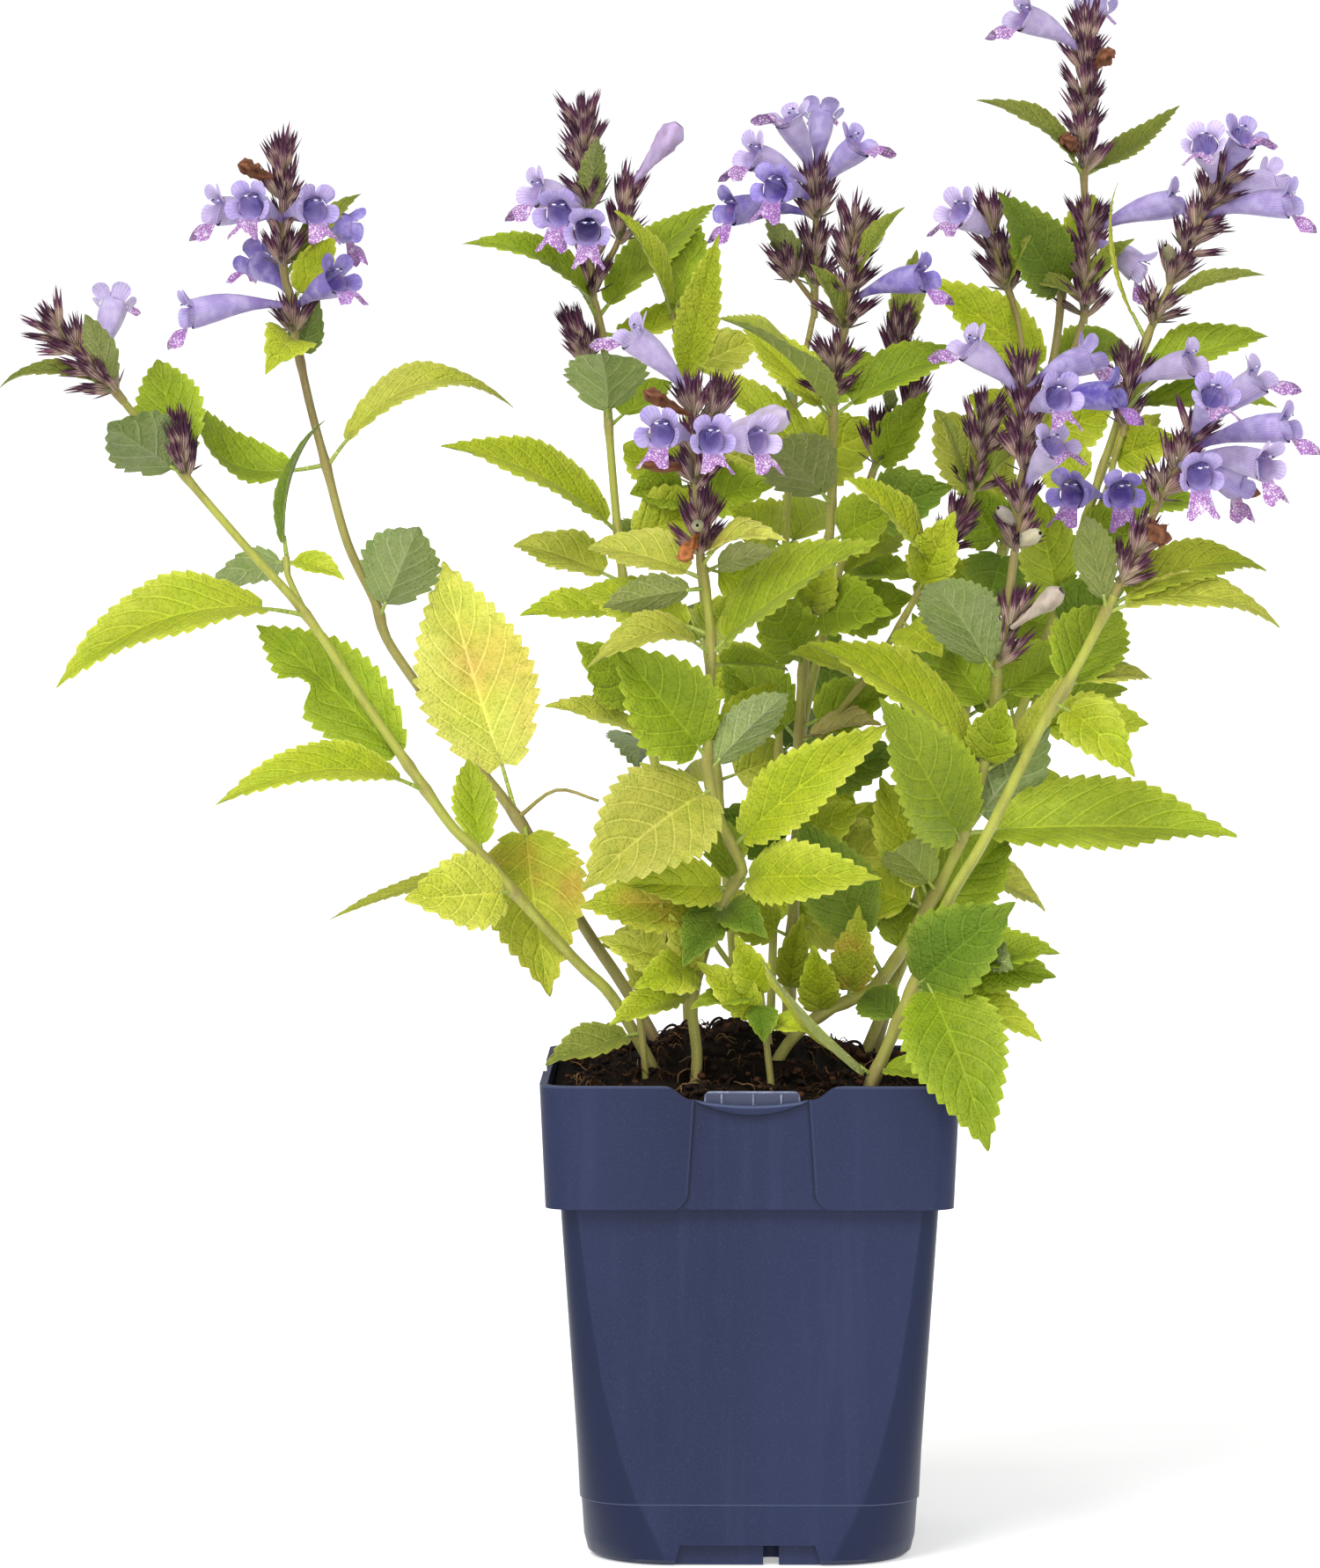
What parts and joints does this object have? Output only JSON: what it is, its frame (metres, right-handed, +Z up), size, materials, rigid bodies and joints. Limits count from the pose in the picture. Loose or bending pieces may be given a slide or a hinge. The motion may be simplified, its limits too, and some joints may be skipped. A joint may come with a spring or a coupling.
{
  "type": "potted catmint plant",
  "caption": "Flowering catmint with leafy stems and lavender-blue flower spikes, standing in peat in a square flared plastic pot.",
  "frame": {"origin": "middle of the pot's underside, on the surface that the pot stands on", "axes": "+Z up, -Y towards the front of the pot (the side with the sagging lip), +X to the viewer's right"},
  "size_m": [0.3848, 0.1946, 0.4575],
  "materials": {
    "pot": "satin",
    "soil": "matte",
    "leaf": "satin",
    "flower": "satin"
  },
  "bodies": {
    "root": {"pot": "pot", "soil": "soil", "shoot_left_tall": "leaf", "spike_left_tall": "flower", "shoot_far_left": "leaf", "spike_far_left": "flower", "shoot_back_left": "leaf", "spike_back_left": "flower", "shoot_behind": "leaf", "shoot_front": "leaf", "spike_front": "flower", "shoot_thin": "leaf", "shoot_low_left": "leaf", "shoot_low_front": "leaf", "shoot_back_centre": "leaf", "spike_back_centre": "flower", "shoot_centre": "leaf", "spike_centre": "flower", "spike_centre_right": "flower", "spike_inner_right": "flower", "shoot_right": "leaf", "spike_right": "flower", "shoot_right_front": "leaf", "spike_right_front": "flower", "shoot_right_tall": "leaf", "spike_right_tall": "flower", "spike_right_small": "flower", "shoot_far_right": "leaf", "spike_far_right": "flower", "spike_lower_right": "flower"}
  },
  "joints": []
}
